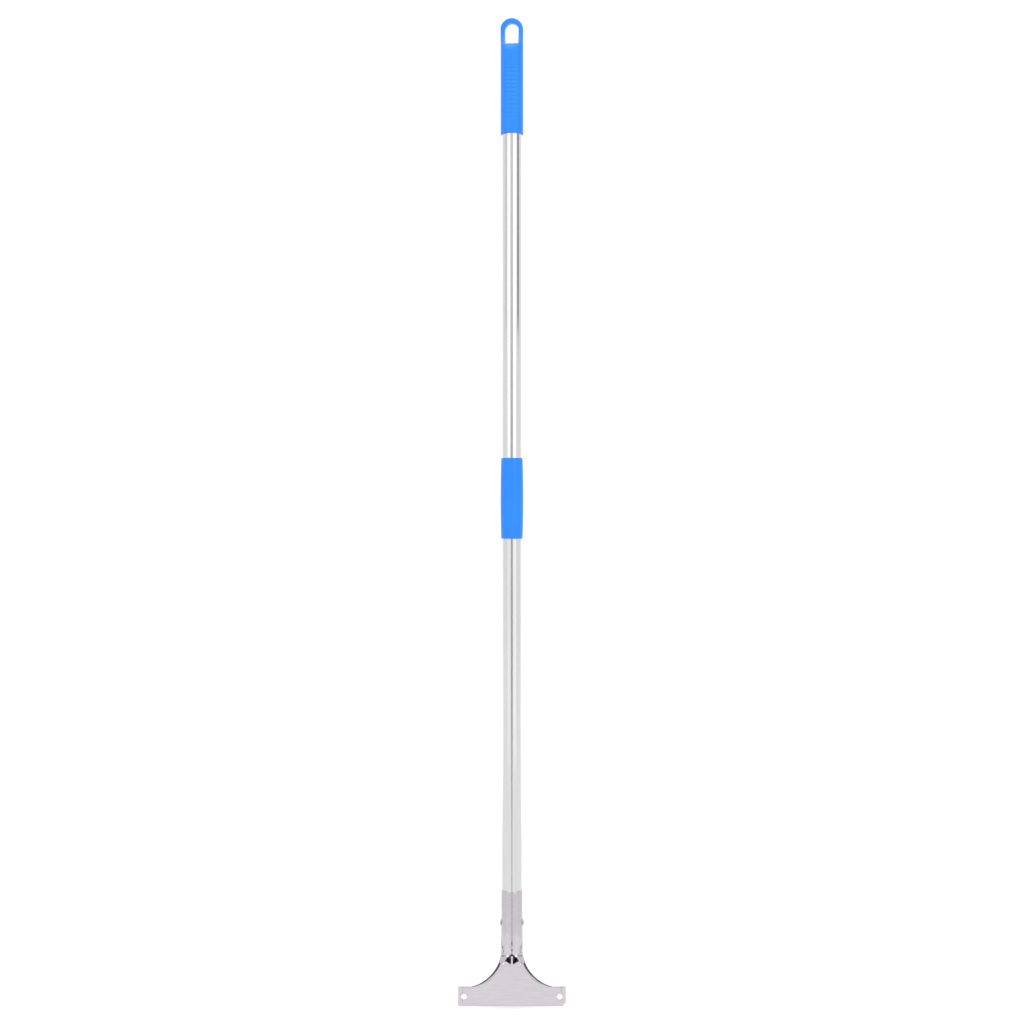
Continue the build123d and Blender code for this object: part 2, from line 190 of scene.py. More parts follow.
def new_piece(name, points, faces, sharp=35.0, weld=1e-3):
    """A smooth-shaded object from points in millimetres; edges sharper than the angle stay crisp."""
    mesh = bpy.data.meshes.new(name)
    mesh.from_pydata([tuple(c * MM for c in p) for p in points], [], faces)
    bm = bmesh.new()
    bm.from_mesh(mesh)
    bmesh.ops.remove_doubles(bm, verts=bm.verts, dist=weld * MM)
    bmesh.ops.dissolve_degenerate(bm, edges=bm.edges, dist=weld * MM)
    bmesh.ops.recalc_face_normals(bm, faces=bm.faces)
    bm.to_mesh(mesh)
    bm.free()
    mesh.shade_smooth()
    mesh.set_sharp_from_angle(angle=radians(sharp))
    piece = bpy.data.objects.new(name, mesh)
    bpy.context.scene.collection.objects.link(piece)
    return piece


def paint(piece, *materials):
    for material in materials:
        piece.data.materials.append(material)
    return piece


def bake_modifiers(piece, sharp=35.0):
    """Applies the piece's modifiers to its mesh."""
    graph = bpy.context.evaluated_depsgraph_get()
    mesh = bpy.data.meshes.new_from_object(piece.evaluated_get(graph))
    piece.modifiers.clear()
    piece.data = mesh
    mesh.shade_smooth()
    mesh.set_sharp_from_angle(angle=radians(sharp))


def rounded(profile, radius, steps=4):
    """A closed (r, z) profile with each corner replaced by a small arc."""
    out = []
    n = len(profile)
    for i in range(n):
        corner = Vector(profile[i])
        back = Vector(profile[i - 1]) - corner
        ahead = Vector(profile[(i + 1) % n]) - corner
        reach = min(radius, back.length * 0.45, ahead.length * 0.45)
        start = corner + back.normalized() * reach
        end = corner + ahead.normalized() * reach
        for k in range(steps + 1):
            t = k / steps
            out.append(tuple((1 - t) ** 2 * start + 2 * t * (1 - t) * corner + t * t * end))
    return out


def lathe(name, profile, axis="Z", height=0.0, side=1, segments=128, sharp=50.0):
    """A solid of revolution from a closed (r, along) profile, about Z or about an X line at a height."""
    points, faces = [], []
    n = len(profile)
    for i in range(segments):
        a = 2 * pi * i / segments
        for r, along in profile:
            if axis == "Z":
                points.append((r * cos(a), r * sin(a), along))
            else:
                points.append((side * along, r * cos(a), height + r * sin(a)))
    for i in range(segments):
        for j in range(n):
            here, there = i * n, (i + 1) % segments * n
            k = (j + 1) % n
            faces.append((here + j, here + k, there + k, there + j))
    piece = new_piece(name, points, faces, sharp)
    weighted = piece.modifiers.new("flat_stays_flat", "WEIGHTED_NORMAL")
    weighted.keep_sharp = True
    bake_modifiers(piece, sharp)
    return piece


# ---------------------------------------------------------------- head


def back_depth(x, z):
    """How far behind the pole's axis the sheet's back is: round wall, ramp, plate, and a rib on the ramp."""
    low = min(RAMP_LOW + RAMP_ROUNDING * x * x, RAMP_HIGH - LEAST_RAMP)
    share = float(np.clip((z - low) / (RAMP_HIGH - low), 0, 1))
    round_wall = SOCKET_BASE_R - SHEET / 2
    rise = (1 - (1 - share) ** RAMP_POWER) * float(smoothstep((z - low) / RAMP_FOOT))
    depth = PLATE_MIDDLE_Y + (round_wall - PLATE_MIDDLE_Y) * rise
    beside = smoothstep((RIB_HALF_WIDTH + RIB_FLANK / 2 - abs(x)) / RIB_FLANK)
    rib = float(beside * smoothstep((RIB_TOP - z) / RIB_FADE))
    return depth + (PLATE_MIDDLE_Y - depth) * rib


def socket_radius(z):
    """Mid-sheet radius of the rolled socket at a height."""
    share = (CONE_TOP - z) / (CONE_TOP - CONE_BASE)
    return SOCKET_TOP_R - SHEET / 2 + (SOCKET_BASE_R - SOCKET_TOP_R) * float(smoothstep(share))


def seam_gap(z):
    return float(through(z, SEAM_HEIGHT, SEAM_HALF_GAP))


INNER_STEPS = 26
OUTER_STEPS = 40
SOCKET_SHARE = 0.35  # how much of the roll the inner steps cover where there is no flat back
SHARE_END = 24  # degrees below the flare's centre, where that share has run out
END_STRIP = 10.0  # how much of the plate the outer steps cover where the roll has run out
STRIP_START = 40  # degrees below the flare's centre, where that strip starts to grow
STRIP_SPAN = 34
# Where the flare's rows change their spacing, in degrees below its centre, and how many lie in each stretch
ROW_BREAKS = (0.0, 24.0, 66.0, FLARE_END)
ROW_COUNTS = (40, 48, 26)
SOCKET_ROWS = 66


def stepped(split, end):
    """Even inner steps from zero to the split, then even outer steps to the end."""
    inner = np.linspace(0, split, INNER_STEPS + 1)
    outer = np.linspace(split, end, OUTER_STEPS + 1)
    return [*inner, *outer[1:]]


def socket_row(side, z):
    """One row of the rolled socket, from its middle at the back round to the seam, dished at the rivet."""
    radius = socket_radius(z)
    turn = pi - seam_gap(z) / radius
    row = []
    for a in stepped(SOCKET_SHARE * turn, turn):
        away = sqrt(((pi / 2 - a) * radius) ** 2 + (z - RIVET_HEIGHT) ** 2)
        r = radius - DIMPLE_DEPTH * float(smoothstep((DIMPLE_R - away) / (DIMPLE_R - RIVET_HEAD_R)))
        row.append((side * r * sin(a), r * cos(a), z))
    return row


def flare_row(side, angle):
    """One row below the socket: level across the flat back, then round the rolled edge to the free edge."""
    width = float(through(angle, ROLL_ANGLE, ROLL_WIDTH))
    depth = float(through(angle, ROLL_ANGLE, ROLL_DEPTH))
    turn = radians(float(through(angle, ROLL_ANGLE, ROLL_TURN)))
    out_x, out_z = cos(radians(angle)), sin(radians(angle))
    reach = FLARE_R + (SHEET / 2 + width) * sin(min(turn, pi / 2))
    base_x, base_z = max(FLARE_X - reach * out_x, 0), FLARE_TOP - reach * out_z
    if base_z > SEAM_HEIGHT[0]:
        turn = min(turn, pi - seam_gap(base_z) / width)
    rolled = (width + depth) / 2 * turn
    share = SOCKET_SHARE * rolled * (1 - float(smoothstep(angle / SHARE_END)))
    share -= END_STRIP * float(smoothstep((angle - STRIP_START) / STRIP_SPAN))
    foot = back_depth(base_x, base_z)
    dip = base_z - float(through(angle, ROW_ANGLE, ROW_MIDDLE)) if angle > ROW_ANGLE[0] else 0.0
    row = []
    for length in stepped(base_x + share, base_x + rolled):
        if length <= base_x:
            z = base_z - dip * (1 - (length / base_x) ** ROW_CURVE) if dip else base_z
            row.append((side * length, back_depth(length, z), z))
        else:
            a = (length - base_x) / rolled * turn
            across = width * sin(a)
            x, z = base_x + across * out_x, base_z + across * out_z
            row.append((side * x, foot - depth * (1 - cos(a)), z))
    return row


def head_half(side):
    """The head's mid-surface on one side: rows from the socket's top to the working edge."""
    top = node_box("head_plate")[1].z
    rows = [socket_row(side, z) for z in np.linspace(top, FLARE_TOP, SOCKET_ROWS)[:-1]]
    angles = [ROW_BREAKS[0]]
    for start, stop, count in zip(ROW_BREAKS, ROW_BREAKS[1:], ROW_COUNTS):
        angles += list(np.linspace(start, stop, count))[1:]
    rows += [flare_row(side, angle) for angle in angles]
    end = rows[-1]
    for z in PLATE_ROWS:
        rows.append([(x, PLATE_MIDDLE_Y, z) for x, _, _ in end])
    return rows


RING_PULL = 0.8  # below 1 it draws the rings of quads in towards the bolt hole


def plate_end(side, inner_x, heights, corner, rings=5):
    """The plate's end on one side, from the flare's foot outwards, as quads round the bolt hole."""
    half = node_box("head_plate")[1].x
    hole_x = abs(frame["record"]["mounts"][0]["dims"]["spacing_x_mm"]) / 2
    outline = [(inner_x, z) for z in heights]
    steps = 10
    low = heights[-1]
    outline += [(inner_x + (half - corner - inner_x) * i / steps, low) for i in range(1, steps + 1)]
    for i in range(1, 5):
        t = i / 4
        start, mid, stop = Vector((half - corner, 0)), Vector((half, 0)), Vector((half, corner))
        bend = 1.0 if side < 0 else 0.0  # the left corner is rounded, the right one cut off
        straight = start.lerp(stop, t)
        curved = (1 - t) ** 2 * start + 2 * t * (1 - t) * mid + t * t * stop
        outline.append(tuple(straight.lerp(curved, bend)))
    outline += [(half, corner + (PLATE_HEIGHT - corner) * i / steps) for i in range(1, steps + 1)]
    outline += [(half + (inner_x - half) * i / steps, PLATE_HEIGHT) for i in range(1, steps)]
    points, faces = [], []
    n = len(outline)
    for x, z in outline:
        away = Vector((x - hole_x, z - HOLE_HEIGHT))
        rim = away.normalized() * PLATE_HOLE_R
        for k in range(rings + 1):
            t = (k / rings) ** RING_PULL
            p = away.lerp(rim, t)
            points.append((side * (hole_x + p.x), PLATE_MIDDLE_Y, HOLE_HEIGHT + p.y))
    for i in range(n):
        for k in range(rings):
            a, b = i * (rings + 1) + k, (i + 1) % n * (rings + 1) + k
            faces.append((a, b, b + 1, a + 1))
    return points, faces


def make_head(*materials):
    points, faces = [], []
    for side, corner in ((-1, LEFT_CORNER), (1, RIGHT_CORNER)):
        rows = head_half(side)
        start, width = len(points), len(rows[0])
        for row in rows:
            points += row
        for i in range(len(rows) - 1):
            for j in range(width - 1):
                a = start + i * width + j
                faces.append((a, a + 1, a + width + 1, a + width))
        edge = rows[-len(PLATE_ROWS) - 1][-1]
        heights = [edge[2], *PLATE_ROWS]
        more, quads = plate_end(side, abs(edge[0]), heights, corner)
        offset = len(points)
        points += more
        faces += [tuple(offset + i for i in quad) for quad in quads]
    head = paint(new_piece("head", points, faces, weld=2e-3), *materials)
    solidify = head.modifiers.new("sheet", "SOLIDIFY")
    solidify.thickness = SHEET * MM
    solidify.offset = 0.0
    solidify.use_even_offset = True
    solidify.material_offset_rim = 1
    bake_modifiers(head)
    # The lip thins towards the tube, and the working edge is ground on its front.
    top = node_box("head_plate")[1].z
    for vertex in head.data.vertices:
        x, y, z = vertex.co / MM
        r = sqrt(x * x + y * y)
        if z > top - SOCKET_LIP and r > SOCKET_TOP_R - SHEET / 2:
            share = float(smoothstep((z - top + SOCKET_LIP) / SOCKET_LIP))
            scale = 1 + share * (SOCKET_LIP_R / r - 1)
            vertex.co.x *= scale
            vertex.co.y *= scale
        if z < BEVEL_HEIGHT and y < PLATE_MIDDLE_Y:
            vertex.co.y += BEVEL_DEPTH * MM * (1 - max(z, 0) / BEVEL_HEIGHT)
    bevel = head.modifiers.new("broken_edges", "BEVEL")
    bevel.width = CUT_EDGE * MM
    bevel.segments = 2
    bevel.use_clamp_overlap = False
    bevel.limit_method = "ANGLE"
    bevel.angle_limit = radians(50)
    weighted = head.modifiers.new("flat_stays_flat", "WEIGHTED_NORMAL")
    weighted.keep_sharp = True
    bake_modifiers(head, 60)
    return head


# ---------------------------------------------------------------- rivets


def make_rivet(side, word):
    """Domed blind rivet head with a rolled rim and the dished hole of its mandrel."""
    wall = socket_radius(RIVET_HEIGHT) + SHEET / 2 - DIMPLE_DEPTH
    top = wall + RIVET_PROUD + DIMPLE_DEPTH
    profile = [(RIVET_HOLE_R, wall - SHANK_DEPTH), (RIVET_HOLE_R, top - 0.35)]
    profile += [(1.35, top - 0.06), (RIVET_RIM_R, top)]
    edge = wall + RIVET_EDGE
    for i in range(1, 9):
        a = i / 8 * pi / 2
        r = RIVET_RIM_R + (RIVET_HEAD_R - RIVET_RIM_R) * sin(a)
        profile.append((r, edge + (top - wall - RIVET_EDGE) * cos(a)))
    profile += [(RIVET_HEAD_R, wall - 0.3), (SHANK_R, wall - 0.5), (SHANK_R, wall - SHANK_DEPTH)]
    rivet = lathe(f"rivet_head_{word}", profile, "X", RIVET_HEIGHT, side, 64, 40)
    stem = [(0.0, wall - STEM_DEPTH), (STEM_R, wall - STEM_DEPTH), (STEM_R, top - 0.95)]
    stem += [(0.85, top - 0.75), (0.3, top - 0.6), (0.0, top - 0.62)]
    pin = lathe(f"rivet_stem_{word}", stem, "X", RIVET_HEIGHT, side, 48, 40)
    return rivet, pin


# ---------------------------------------------------------------- pole


def make_tube(node, name):
    """Drawn tube with its end edges lightly broken."""
    low, high = node_box(node)
    outer = high.x
    inner = outer - TUBE_WALL
    profile = [(outer, low.z), (outer, high.z), (inner, high.z), (inner, low.z)]
    return lathe(name, rounded(profile, 0.25, 3), segments=160)


def make_sleeve():
    """Barrel-shaped sleeve with a soft upper rim and a squarer lower one."""
    low, high = node_box("joint_sleeve")
    bore = node_box("upper_tube")[1].x + SLEEVE_CLEARANCE
    middle, half = (low.z + high.z) / 2, (high.z - low.z) / 2
    profile = [(bore, low.z + 0.3), (bore + 0.3, low.z), (SLEEVE_END_R - 0.5, low.z)]
    for i in range(40):
        z = low.z + SLEEVE_FOOT + (high.z - SLEEVE_RIM - low.z - SLEEVE_FOOT) * i / 39
        crown = 1 - ((z - middle) / half) ** 2
        profile.append((SLEEVE_END_R + (SLEEVE_MIDDLE_R - SLEEVE_END_R) * crown, z))
    edge_r = profile[-1][0]
    for i in range(1, 7):
        a = i / 6 * pi / 2
        r = edge_r - (edge_r - bore - 0.15) * (1 - cos(a))
        profile.append((r, high.z - SLEEVE_RIM + SLEEVE_RIM * sin(a)))
    profile.append((bore, high.z - 0.2))
    return lathe("sleeve", profile, segments=160, sharp=60)


# ---------------------------------------------------------------- hanging grip


def soft_max(a, b, k):
    """The larger of two fields, with the edge between them rounded over about k."""
    h = np.clip(0.5 + 0.5 * (a - b) / k, 0, 1)
    return b + (a - b) * h + k * h * (1 - h) * 0.5


def grip_field(p):
    """Negative inside the grip, zero on its surface. p is an array of points in the grip's own turn."""
    x, y, z = p[..., 0], p[..., 1], p[..., 2]
    low, high = node_box("hang_grip")
    arch = high.z - GRIP_R - ARCH_DROP
    hole_arch = high.z - GRIP_R - HOLE_ARCH_DROP
    above = np.maximum(z - arch, 0)
    front = np.sqrt(x**2 + above**2) - GRIP_R
    barrel = np.sqrt(x**2 + y**2) - GRIP_R
    neck = smoothstep((z - NECK_LOW) / (NECK_HIGH - NECK_LOW))
    depth = GRIP_R + SLAB_SPARE + (LOOP_HALF_DEPTH - GRIP_R - SLAB_SPARE) * neck
    slab = np.abs(y) - depth
    body = soft_max(soft_max(barrel, front, ARCH_ROUNDING), slab, LOOP_ROUNDING)
    # Hanging hole: flat foot with small corners, straight sides and a round arch.
    hole_up = np.maximum(z - hole_arch, 0)
    sides = np.sqrt(x**2 + hole_up**2) - HOLE_HALF_WIDTH
    hole = soft_max(sides, HOLE_BASE - z, HOLE_ROUNDING)
    body = soft_max(body, -hole, HOLE_ROUNDING)
    # Finger grooves across the front and the back.
    turn = np.degrees(np.arctan2(np.abs(x), np.abs(y)))
    window = smoothstep((GROOVE_SPREAD - turn) / GROOVE_FADE)
    phase = (z - GROOVE_BASE + GROOVE_PITCH / 2) % GROOVE_PITCH - GROOVE_PITCH / 2
    span = (z > GROOVE_BASE - GROOVE_PITCH / 2) & (z < GROOVE_BASE + (GROOVE_COUNT - 0.5) * GROOVE_PITCH)
    groove = GROOVE_DEPTH * np.exp(-((phase / GROOVE_HALF_WIDTH) ** 2)) * window * span
    body = body + groove
    body = soft_max(body, low.z - z, FOOT_ROUNDING)
    bore = np.sqrt(x**2 + y**2) - node_box("upper_tube")[1].x
    return np.maximum(body, -np.maximum(bore, z - BORE_TOP))


PULLS = 4  # how many times the net is pulled onto the surface
LEAST_SLOPE = 0.5  # keeps a pull short where the field is flat


def surface_net(field, low, high, cell):
    """A quad mesh of a field's zero surface, pulled onto it."""
    counts = [int((b - a) / c) + 2 for a, b, c in zip(low, high, cell)]
    axes = [a + c * np.arange(n) for a, c, n in zip(low, cell, counts)]
    grid = np.stack(np.meshgrid(*axes, indexing="ij"), -1)
    values = field(grid)
    inside = values < 0
    shape = np.array(counts) - 1
    total = np.zeros((*shape, 3))
    count = np.zeros(shape)
    crossings = []
    for axis in range(3):
        step = np.eye(3, dtype=int)[axis]
        a = tuple(slice(0, n - s) for n, s in zip(counts, step))
        b = tuple(slice(s, n) for n, s in zip(counts, step))
        cross = inside[a] != inside[b]
        t = np.where(cross, values[a] / np.where(cross, values[a] - values[b], 1), 0)
        where = grid[a] + t[..., None] * step * np.array(cell)
        crossings.append((axis, cross, inside[a]))
        others = [k for k in range(3) if k != axis]
        for i in (0, 1):
            for j in (0, 1):
                take = [slice(0, n) for n in shape]
                take[others[0]] = slice(i, i + shape[others[0]])
                take[others[1]] = slice(j, j + shape[others[1]])
                take = tuple(take)
                total += where[take] * cross[take][..., None]
                count += cross[take]
    used = count > 0
    index = -np.ones(shape, int)
    index[used] = np.arange(used.sum())
    points = total[used] / count[used][:, None]
    faces = []
    for axis, cross, start_in in crossings:
        u, v = [k for k in range(3) if k != axis]
        cells = np.argwhere(cross)
        keep = (cells[:, u] > 0) & (cells[:, v] > 0)
        keep &= (cells[:, u] < shape[u]) & (cells[:, v] < shape[v])
        cells = cells[keep]
        corners = []
        for i, j in ((1, 1), (0, 1), (0, 0), (1, 0)):
            c = cells.copy()
            c[:, u] -= i
            c[:, v] -= j
            corners.append(index[tuple(c.T)])
        quads = np.stack(corners, 1)
        flip = start_in[tuple(cells.T)] != (axis == 1)
        quads[~flip] = quads[~flip][:, ::-1]
        faces.append(quads)
    small = 0.02
    for _ in range(PULLS):
        value = field(points)
        slope = np.stack(
            [(field(points + small * e) - field(points - small * e)) / (2 * small) for e in np.eye(3)], -1
        )
        points = points - slope * (value / np.maximum((slope**2).sum(-1), LEAST_SLOPE**2))[:, None]
    return points, np.concatenate(faces)


def make_grip():
    low, high = node_box("hang_grip")
    start = (-GRIP_R - GRIP_MARGIN, -GRIP_R - GRIP_MARGIN, low.z - 1.0)
    stop = (GRIP_R + GRIP_MARGIN, GRIP_R + GRIP_MARGIN, high.z + 1.0)
    points, faces = surface_net(grip_field, start, stop, GRIP_CELL)
    turn = radians(GRIP_TURN)
    x, y, z = points.T
    points = np.stack([x * cos(turn) - y * sin(turn), x * sin(turn) + y * cos(turn), z], 1)
    return new_piece("grip", points.tolist(), faces.tolist(), 60, 1e-4)


# ---------------------------------------------------------------- materials


class Nodes:
    """A material's node tree, with short ways to add and link nodes."""

    def __init__(self, name):
        self.material = bpy.data.materials.new(name)
        self.material.use_nodes = True
        self.tree = self.material.node_tree
        self.shader = self.tree.nodes["Principled BSDF"]

    def add(self, kind, values=(), **settings):
        node = self.tree.nodes.new(kind)
        for key, value in settings.items():
            setattr(node, key, value)
        for key, value in dict(values).items():
            node.inputs[key].default_value = value
        return node

    def link(self, source, target):
        self.tree.links.new(source, target)

    def set(self, **values):
        for key, value in values.items():
            self.shader.inputs[key.replace("_", " ").title().replace("Ior", "IOR")].default_value = value

    def coordinates(self, scale):
        where = self.add("ShaderNodeTexCoord")
        scaled = self.add("ShaderNodeMapping", {"Scale": scale})
        self.link(where.outputs["Object"], scaled.inputs["Vector"])
        return scaled.outputs["Vector"]

    def noise(self, scale, detail=3.0, roughness=0.5):
        node = self.add("ShaderNodeTexNoise", {"Scale": 1.0, "Detail": detail, "Roughness": roughness})
        self.link(self.coordinates(scale), node.inputs["Vector"])
        return node.outputs["Fac"]

    def ramp(self, source, low, high, start=0.3, end=0.7):
        node = self.add(
            "ShaderNodeMapRange", {"From Min": start, "From Max": end, "To Min": low, "To Max": high}
        )
        self.link(source, node.inputs["Value"])
        return node.outputs["Result"]

    def blend(self, source, low, high, start=0.3, end=0.7):
        node = self.add("ShaderNodeValToRGB")
        node.color_ramp.elements[0].position = start
        node.color_ramp.elements[1].position = end
        node.color_ramp.elements[0].color = (*low, 1)
        node.color_ramp.elements[1].color = (*high, 1)
        self.link(source, node.inputs["Fac"])
        return node.outputs["Color"]

    def bump(self, source, strength, distance):
        node = self.add("ShaderNodeBump", {"Strength": strength, "Distance": distance})
        self.link(source, node.inputs["Height"])
        self.link(node.outputs["Normal"], self.shader.inputs["Normal"])


def polished_tube_steel():
    """Stainless tube, polished lengthwise: fine streaks in tone, roughness and relief."""
    m = Nodes("polished_tube_steel")
    m.set(metallic=1.0)
    streaks = m.noise((1400, 1400, 6), 4, 0.6)
    tone = m.blend(streaks, (0.74, 0.73, 0.735), (0.82, 0.81, 0.815))
    m.link(tone, m.shader.inputs["Base Color"])
    m.link(m.ramp(streaks, 0.10, 0.17), m.shader.inputs["Roughness"])
    m.bump(m.noise((2600, 2600, 10), 2), 0.02, 0.0002)
    return m.material


def polished_sheet_steel():
    """Stamped stainless sheet: bright, with faint rolling streaks and soft handling marks."""
    m = Nodes("polished_sheet_steel")
    m.set(metallic=1.0)
    rolled = m.noise((60, 900, 900), 4, 0.55)
    tone = m.blend(rolled, (0.58, 0.555, 0.585), (0.63, 0.605, 0.635))
    m.link(tone, m.shader.inputs["Base Color"])
    m.link(m.ramp(m.noise((180, 180, 180), 3), 0.12, 0.2), m.shader.inputs["Roughness"])
    m.bump(m.noise((300, 1500, 1500), 3), 0.02, 0.0002)
    return m.material


def sheared_edge():
    """The sheet's cut edge: duller than its faces, with the shear's fine lines across it."""
    m = Nodes("sheared_edge")
    m.set(metallic=1.0)
    tone = m.blend(m.noise((700, 700, 700), 3), (0.48, 0.47, 0.48), (0.6, 0.59, 0.6))
    m.link(tone, m.shader.inputs["Base Color"])
    m.link(m.ramp(m.noise((1400, 1400, 1400), 2), 0.3, 0.42), m.shader.inputs["Roughness"])
    m.bump(m.noise((2400, 2400, 2400), 2), 0.05, 0.0002)
    return m.material


def rivet_steel():
    """Plain rivet steel, slightly satin, with faint turning marks."""
    m = Nodes("rivet_steel")
    m.set(metallic=1.0)
    tone = m.blend(m.noise((900, 900, 900), 3), (0.5, 0.49, 0.49), (0.62, 0.61, 0.61))
    m.link(tone, m.shader.inputs["Base Color"])
    m.link(m.ramp(m.noise((1500, 1500, 1500), 2), 0.2, 0.32), m.shader.inputs["Roughness"])
    m.bump(m.noise((3000, 1200, 1200), 2), 0.05, 0.0002)
    return m.material


def stem_steel():
    """The rivet's snapped stem: dull grey, with a torn grain."""
    m = Nodes("stem_steel")
    m.set(metallic=1.0)
    tone = m.blend(m.noise((2000, 2000, 2000), 4), (0.12, 0.12, 0.125), (0.3, 0.3, 0.3))
    m.link(tone, m.shader.inputs["Base Color"])
    m.link(m.ramp(m.noise((2500, 2500, 2500), 3), 0.4, 0.6), m.shader.inputs["Roughness"])
    m.bump(m.noise((2500, 2500, 2500), 4), 0.4, 0.0002)
    return m.material


def moulded_plastic(name, low, high, roughness, grain):
    """Moulded plastic: slow drift of colour, fine spark-eroded grain and uneven gloss."""
    m = Nodes(name)
    m.link(m.blend(m.noise((22, 22, 22), 3), low, high), m.shader.inputs["Base Color"])
    gloss = m.ramp(m.noise((220, 220, 220), 4), roughness - 0.04, roughness + 0.05)
    m.link(gloss, m.shader.inputs["Roughness"])
    m.bump(m.noise((2600, 2600, 2600), 3, 0.6), grain, 0.0002)
    return m


def blue_plastic():
    m = moulded_plastic("blue_plastic", (0.011, 0.195, 0.81), (0.014, 0.21, 0.85), 0.34, 0.06)
    m.set(specular_ior_level=0.3)
    return m.material


def seal_rubber():
    m = moulded_plastic("seal_rubber", (0.02, 0.02, 0.021), (0.035, 0.035, 0.036), 0.7, 0.2)
    return m.material


def natural_nylon():
    m = moulded_plastic("natural_nylon", (0.72, 0.71, 0.66), (0.8, 0.79, 0.75), 0.45, 0.08)
    m.set(subsurface_weight=0.1, subsurface_radius=(0.002, 0.002, 0.002))
    return m.material


# ---------------------------------------------------------------- the object


def place(piece, body, slot, *nodes):
    """Gives a piece its body and hides the CAD nodes that it stands for. The slot is not used."""
    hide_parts(*nodes)
    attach(piece, body)


def build_object():
    tube_steel = polished_tube_steel()
    blue = blue_plastic()
    rivet_metal = rivet_steel()
    stem_metal = stem_steel()
    nylon = natural_nylon()
    rubber = seal_rubber()
    upper_tube = paint(make_tube("upper_tube", "upper_pole"), tube_steel)
    lower_tube = paint(make_tube("lower_tube", "lower_pole"), tube_steel)
    place(paint(make_grip(), blue), "upper_section", "blue_plastic", "hang_grip")
    place(upper_tube, "upper_section", "tube_steel", "upper_tube")
    place(lower_tube, "lower_section", "tube_steel", "lower_tube")
    place(paint(make_sleeve(), blue), "lower_section", "blue_plastic", "joint_sleeve")
    place(make_head(polished_sheet_steel(), sheared_edge()), "lower_section", "head_steel", "head_plate")
    for side, word in ((-1, "left"), (1, "right")):
        rivet, stem = make_rivet(side, word)
        place(paint(rivet, rivet_metal), "lower_section", "rivet_steel", f"rivet_{word}")
        place(paint(stem, stem_metal), "lower_section", "pin_steel", f"rivet_pin_{word}")
    paint_cad = {"screw_plug": nylon, "screw_socket": nylon, "joint_washer": rubber}
    for node, material in paint_cad.items():
        for slot in frame["nodes"][node].material_slots:
            slot.material = material


# ---------------------------------------------------------------- studio

CAMERA_DISTANCE = 2.0
CAMERA_X = 0.0001
CAMERA_HEIGHT = 0.5493
FRAME_HEIGHT = 1.1353  # what the picture spans at the pole, in metres
BACKDROP_GLOW = 0.08


def make_backdrop():
    """A pale floor that curves up into a wall well behind the object."""
    wall_y, rise, radius, half = 2.2, 4.0, 1.2, 5.0
    profile = [(-half, 0.0), (wall_y - radius, 0.0)]
    for i in range(1, 25):
        a = i / 24 * pi / 2
        profile.append((wall_y - radius + radius * sin(a), radius - radius * cos(a)))
    profile.append((wall_y, rise))
    points = [(x / MM, y / MM, z / MM) for y, z in profile for x in (-half, half)]
    faces = [(2 * i, 2 * i + 1, 2 * i + 3, 2 * i + 2) for i in range(len(profile) - 1)]
    backdrop = new_piece("backdrop", points, faces)
    m = Nodes("pale_backdrop")
    m.set(base_color=(0.9, 0.9, 0.9, 1), roughness=0.9, specular_ior_level=0.1)
    m.set(emission_color=(1, 1, 1, 1), emission_strength=BACKDROP_GLOW)
    paint(backdrop, m.material)


def soft_light(name, place_at, target, width, height, radiance):
    """A soft rectangular lamp of a given brightness."""
    data = bpy.data.lights.new(name, "AREA")
    data.shape = "RECTANGLE"
    data.size, data.size_y = width, height
    data.energy = radiance * pi * width * height
    lamp = bpy.data.objects.new(name, data)
    bpy.context.scene.collection.objects.link(lamp)
    lamp.location = place_at
    lamp.rotation_euler = (Vector(target) - Vector(place_at)).to_track_quat("-Z", "Y").to_euler()


def reflected_only(piece):
    """Makes a studio piece show only in reflections."""
    piece.visible_camera = False
    piece.visible_diffuse = False
    piece.visible_shadow = False


def black_card(name):
    """The material of a studio card before it is given any glow."""
    m = Nodes(name)
    m.set(base_color=(0.01, 0.01, 0.01, 1), roughness=1.0)
    return m


def flag(name, azimuth, distance, width, low, high, *glow):
    """An upright card at an azimuth from the camera's side. Glow runs from the foot up; none is black."""
    a = radians(azimuth)
    centre = Vector((sin(a), -cos(a), 0)) * distance
    across = Vector((cos(a), sin(a), 0)) * width / 2
    corners = [centre - across, centre + across]
    points = [(c.x / MM, c.y / MM, z / MM) for z in (low, high) for c in corners]
    m = black_card(name)
    if glow:
        where = m.add("ShaderNodeTexCoord")
        parts = m.add("ShaderNodeSeparateXYZ")
        m.link(where.outputs["Object"], parts.inputs["Vector"])
        share = m.ramp(parts.outputs["Z"], 0, 1, low, high)
        ramp = m.add("ShaderNodeValToRGB")
        stops = ramp.color_ramp.elements
        for i, level in enumerate(glow):
            at = i / max(len(glow) - 1, 1)
            stop = stops[i] if i < 2 else stops.new(at)
            stop.position = at
            stop.color = (level, level, level, 1)
        m.link(share, ramp.inputs["Fac"])
        m.link(ramp.outputs["Color"], m.shader.inputs["Emission Color"])
        m.set(emission_strength=1.0)
    reflected_only(paint(new_piece(name, points, [(0, 1, 3, 2)]), m.material))


def card(name, points, faces, glow):
    """A flat studio card of an even glow, seen only in reflections."""
    m = black_card(name)
    m.set(emission_color=(glow, glow, glow, 1), emission_strength=1.0)
    reflected_only(paint(new_piece(name, points, faces), m.material))


# The front edge of a tent's roof, in millimetres out from the pole and back from its axis
TENT_FRONT = ((16, 0), (36, 0), (46, -14), (51, -20), (70, -22))
TENT_BACK = 100
TENT_ROOF = 54
TENT_SIDE = 55
TENT_FOOT = 5
TENT_SIDE_TOP = 57
TENT_GLOW = 0.1
OPEN_SKY = 0.9


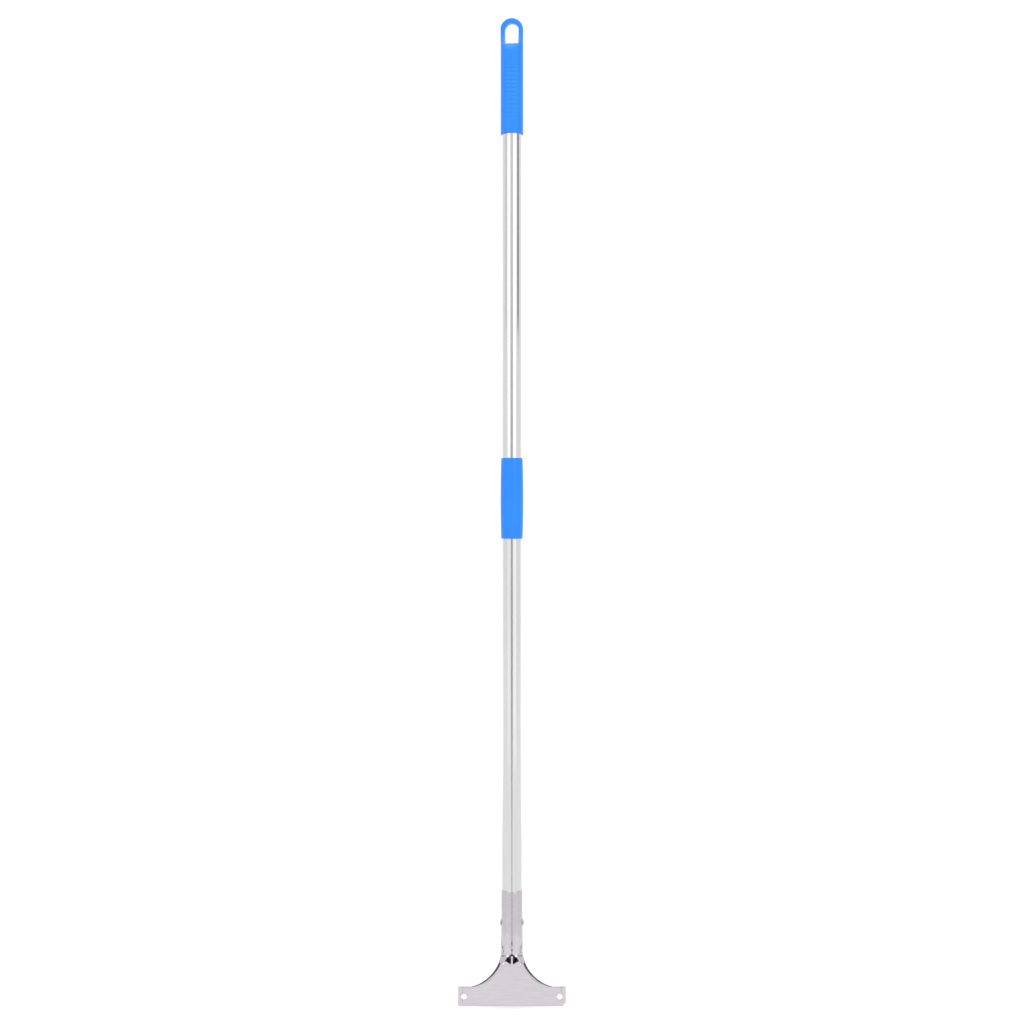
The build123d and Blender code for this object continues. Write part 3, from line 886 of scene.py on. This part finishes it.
def tent(side, word):
    """Dark cards over and outside one flare, for its rolled edge to reflect. From above the roof is pale."""
    n = len(TENT_FRONT)
    for part, height, glow in (("roof", TENT_ROOF, TENT_GLOW), ("roof_top", TENT_ROOF + 1, OPEN_SKY)):
        points = [(side * x, y, height) for x, y in TENT_FRONT]
        points += [(side * x, TENT_BACK, height) for x, _ in TENT_FRONT]
        card(f"tent_{part}_{word}", points, [(i, i + 1, n + i + 1, n + i) for i in range(n - 1)], glow)
    outer = side * TENT_SIDE
    points = [(outer, 0, TENT_FOOT), (outer, TENT_BACK, TENT_FOOT)]
    points += [(outer, TENT_BACK, TENT_SIDE_TOP), (outer, 0, TENT_SIDE_TOP)]
    card(f"tent_side_{word}", points, [(0, 1, 2, 3)], TENT_GLOW)


WORLD_GLOW = 0.88
POLE_MIDDLE = (0, 0, 0.55)
HEAD_LEVEL = (0, 0, 0.3)
# Each lamp's name, its place and what it faces, its width and height, all in metres, and its radiance
LAMPS = (
    ("key_left", (-1.2, -1.55, 1.45), POLE_MIDDLE, 0.9, 1.8, 0.8),
    ("key_right", (1.05, -1.6, 1.42), POLE_MIDDLE, 1.1, 1.8, 1.1),
    ("low_left", (-1.2, -1.55, 0.3), HEAD_LEVEL, 0.9, 0.6, 0.16),
    ("low_right", (1.05, -1.6, 0.3), HEAD_LEVEL, 1.1, 0.6, 0.22),
    ("top", (0, -0.3, 2.6), (0, 0.2, 0), 2.4, 2.0, 2.4),
)
# Each flag's name, azimuth in degrees, distance, width, foot and top in metres, and its glow from the foot up
FLAGS = (
    ("flag_right", 76, 1.0, 0.28, 0.85, 1.7),
    ("flag_left", -72, 1.0, 0.2, 0.85, 1.7, 0.5, 0.5),
    ("flag_front", 0, 0.3, 0.05, 0.0, 1.05, 0.5, 0.35, 0.05, 0.0, 0.1, 0.3, 0.5, 0.6),
)
# The floor as the steel reflects it: each mat's name, half-width and height in millimetres, and glow
MATS = (("far_mat", 4000, 0.2, 0.86), ("near_mat", 350, 0.4, 1.03))


def make_studio():
    scene = bpy.context.scene
    scene.view_settings.view_transform = "Standard"
    world = bpy.data.worlds.new("studio")
    world.use_nodes = True
    world.node_tree.nodes["Background"].inputs["Color"].default_value = (1, 1, 1, 1)
    world.node_tree.nodes["Background"].inputs["Strength"].default_value = WORLD_GLOW
    scene.world = world
    make_backdrop()
    for lamp in LAMPS:
        soft_light(*lamp)
    for upright in FLAGS:
        flag(*upright)
    for name, half, height, glow in MATS:
        corners = [(-half, -half, height), (half, -half, height), (half, half, height), (-half, half, height)]
        card(name, corners, [(0, 1, 2, 3)], glow)
    for side, word in ((-1, "left"), (1, "right")):
        tent(side, word)


def make_camera():
    data = bpy.data.cameras.new("camera")
    data.sensor_width = 36.0
    data.lens = 36.0 * CAMERA_DISTANCE / FRAME_HEIGHT
    data.clip_end = 50
    camera = bpy.data.objects.new("camera", data)
    bpy.context.scene.collection.objects.link(camera)
    camera.location = (CAMERA_X, -CAMERA_DISTANCE, CAMERA_HEIGHT)
    camera.rotation_euler = (pi / 2, 0, 0)
    bpy.context.scene.camera = camera


build_object()
make_studio()
make_camera()
